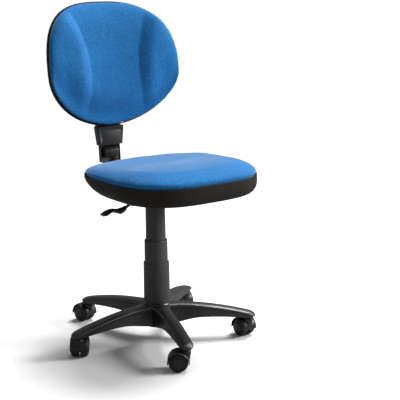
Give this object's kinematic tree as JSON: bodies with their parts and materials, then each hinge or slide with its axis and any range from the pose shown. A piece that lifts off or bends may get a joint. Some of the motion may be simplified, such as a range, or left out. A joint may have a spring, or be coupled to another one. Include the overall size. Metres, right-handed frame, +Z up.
{
  "type": "swivel office chair",
  "caption": "Height-adjustable swivel chair with upholstered seat and sprung backrest on a five-star caster base.",
  "frame": {"origin": "on the floor, on the vertical axis of the column", "axes": "+Z up, -Y the way the sitter faces, +X to the sitter's left"},
  "size_m": [0.5244, 0.5863, 0.9523],
  "materials": {
    "base_nylon": "satin",
    "hard_plastic": "satin",
    "cover_plastic": "satin",
    "caster_plastic": "satin",
    "wheel_nylon": "satin",
    "black_steel": "satin",
    "bright_steel": "satin",
    "chromed_steel": "polished",
    "bearing_plastic": "satin",
    "plywood": "raw",
    "brass_insert": "satin",
    "seat_shell_plastic": "satin",
    "upholstery": "woven"
  },
  "bodies": {
    "base": {"star_base": "base_nylon", "gas_lift_tube": "black_steel", "lift_guide_bush": "bearing_plastic", "thrust_bearing": "bright_steel", "cover_lower": "cover_plastic"},
    "lift_rod": {"piston_rod": "chromed_steel", "lift_piston": "hard_plastic", "rod_clip": "bright_steel"},
    "middle_cover": {"cover_middle": "cover_plastic"},
    "seat": {"gas_cylinder": "chromed_steel", "cover_upper": "cover_plastic", "mechanism_housing": "black_steel", "lift_socket": "black_steel", "recline_pin": "bright_steel", "recline_spring": "bright_steel", "lever_pin": "bright_steel", "seat_bolts": "bright_steel", "seat_shell": "seat_shell_plastic", "seat_board": "plywood", "tee_nuts": "bright_steel", "arm_inserts": "brass_insert", "seat_cushion": "upholstery"},
    "button": {"release_button": "hard_plastic"},
    "lever": {"lever_rod": "black_steel", "lever_handle": "hard_plastic"},
    "back_arm": {"back_bar": "black_steel", "bar_bracket": "black_steel", "upright_sleeve_lower": "hard_plastic"},
    "backrest": {"upright_sleeve_upper": "hard_plastic", "height_guide": "hard_plastic", "guide_screws": "bright_steel", "back_board": "plywood", "back_cushion": "upholstery", "back_shell": "seat_shell_plastic", "back_shell_screws": "bright_steel"},
    "caster_1": {"caster_housing_1": "caster_plastic", "caster_stem_1": "bright_steel", "caster_axle_1": "bright_steel"},
    "wheel_left_1": {"wheel_left_1": "wheel_nylon"},
    "wheel_right_1": {"wheel_right_1": "wheel_nylon"},
    "caster_2": {"caster_housing_2": "caster_plastic", "caster_stem_2": "bright_steel", "caster_axle_2": "bright_steel"},
    "wheel_left_2": {"wheel_left_2": "wheel_nylon"},
    "wheel_right_2": {"wheel_right_2": "wheel_nylon"},
    "caster_3": {"caster_housing_3": "caster_plastic", "caster_stem_3": "bright_steel", "caster_axle_3": "bright_steel"},
    "wheel_left_3": {"wheel_left_3": "wheel_nylon"},
    "wheel_right_3": {"wheel_right_3": "wheel_nylon"},
    "caster_4": {"caster_housing_4": "caster_plastic", "caster_stem_4": "bright_steel", "caster_axle_4": "bright_steel"},
    "wheel_left_4": {"wheel_left_4": "wheel_nylon"},
    "wheel_right_4": {"wheel_right_4": "wheel_nylon"},
    "caster_5": {"caster_housing_5": "caster_plastic", "caster_stem_5": "bright_steel", "caster_axle_5": "bright_steel"},
    "wheel_left_5": {"wheel_left_5": "wheel_nylon"},
    "wheel_right_5": {"wheel_right_5": "wheel_nylon"}
  },
  "joints": [
    {"name": "seat_swivel", "type": "hinge", "parent": "base", "child": "lift_rod", "pos_m": [0, 0, 0.1131], "axis": [0, 0, 1], "continuous": true},
    {"name": "lift_height", "type": "slide", "parent": "lift_rod", "child": "seat", "axis": [0, 0, 1], "range_m": [-0.095, 0.025]},
    {"name": "cover_slide", "type": "slide", "parent": "base", "child": "middle_cover", "axis": [0, 0, 1], "range_m": [-0.0475, 0.0125]},
    {"name": "lever_lift", "type": "hinge", "parent": "seat", "child": "lever", "pos_m": [-0.04, 0, 0.417], "axis": [0, 1, 0], "range_deg": [0, 7], "stiffness_Nm_per_rad": 8, "springref_deg": -6.88},
    {"name": "button_press", "type": "slide", "parent": "seat", "child": "button", "axis": [0, 0, -1], "range_m": [0, 0.005]},
    {"name": "back_recline", "type": "hinge", "parent": "seat", "child": "back_arm", "pos_m": [0, 0.07, 0.4151], "axis": [-1, 0, 0], "range_deg": [0, 15], "stiffness_Nm_per_rad": 40, "springref_deg": -34.38},
    {"name": "back_height", "type": "slide", "parent": "back_arm", "child": "backrest", "axis": [0, 0.0698, 0.9976], "range_m": [-0.025, 0.02]},
    {"name": "caster_swivel_1", "type": "hinge", "parent": "base", "child": "caster_1", "pos_m": [0.20872, 0.15671, 0.0585], "axis": [0, 0, 1], "continuous": true},
    {"name": "wheel_spin_left_1", "type": "hinge", "parent": "caster_1", "child": "wheel_left_1", "pos_m": [0.21081, 0.1766, 0.026], "axis": [-0.9945, 0.1045, 0], "continuous": true},
    {"name": "wheel_spin_right_1", "type": "hinge", "parent": "caster_1", "child": "wheel_right_1", "pos_m": [0.21081, 0.1766, 0.026], "axis": [-0.9945, 0.1045, 0], "continuous": true},
    {"name": "caster_swivel_2", "type": "hinge", "parent": "base", "child": "caster_2", "pos_m": [-0.08454, 0.24693, 0.0585], "axis": [0, 0, 1], "continuous": true},
    {"name": "wheel_spin_left_2", "type": "hinge", "parent": "caster_2", "child": "wheel_left_2", "pos_m": [-0.08938, 0.26633, 0.026], "axis": [-0.9703, -0.2419, 0], "continuous": true},
    {"name": "wheel_spin_right_2", "type": "hinge", "parent": "caster_2", "child": "wheel_right_2", "pos_m": [-0.08938, 0.26633, 0.026], "axis": [-0.9703, -0.2419, 0], "continuous": true},
    {"name": "caster_swivel_3", "type": "hinge", "parent": "base", "child": "caster_3", "pos_m": [-0.26097, -0.0041, 0.0585], "axis": [0, 0, 1], "continuous": true},
    {"name": "wheel_spin_left_3", "type": "hinge", "parent": "caster_3", "child": "wheel_left_3", "pos_m": [-0.24921, 0.01208, 0.026], "axis": [-0.809, 0.5878, 0], "continuous": true},
    {"name": "wheel_spin_right_3", "type": "hinge", "parent": "caster_3", "child": "wheel_right_3", "pos_m": [-0.24921, 0.01208, 0.026], "axis": [-0.809, 0.5878, 0], "continuous": true},
    {"name": "caster_swivel_4", "type": "hinge", "parent": "base", "child": "caster_4", "pos_m": [-0.07674, -0.24946, 0.0585], "axis": [0, 0, 1], "continuous": true},
    {"name": "wheel_spin_left_4", "type": "hinge", "parent": "caster_4", "child": "wheel_left_4", "pos_m": [-0.09292, -0.23771, 0.026], "axis": [-0.5878, -0.809, 0], "continuous": true},
    {"name": "wheel_spin_right_4", "type": "hinge", "parent": "caster_4", "child": "wheel_right_4", "pos_m": [-0.09292, -0.23771, 0.026], "axis": [-0.5878, -0.809, 0], "continuous": true},
    {"name": "caster_swivel_5", "type": "hinge", "parent": "base", "child": "caster_5", "pos_m": [0.21354, -0.15008, 0.0585], "axis": [0, 0, 1], "continuous": true},
    {"name": "wheel_spin_left_5", "type": "hinge", "parent": "caster_5", "child": "wheel_left_5", "pos_m": [0.21284, -0.13009, 0.026], "axis": [-0.9994, -0.0349, 0], "continuous": true},
    {"name": "wheel_spin_right_5", "type": "hinge", "parent": "caster_5", "child": "wheel_right_5", "pos_m": [0.21284, -0.13009, 0.026], "axis": [-0.9994, -0.0349, 0], "continuous": true}
  ],
  "couplings": [
    {"joint": "cover_slide", "follows": "lift_height", "ratio": 0.5},
    {"joint": "button_press", "follows": "lever_lift", "m_per_rad": 0.04}
  ]
}
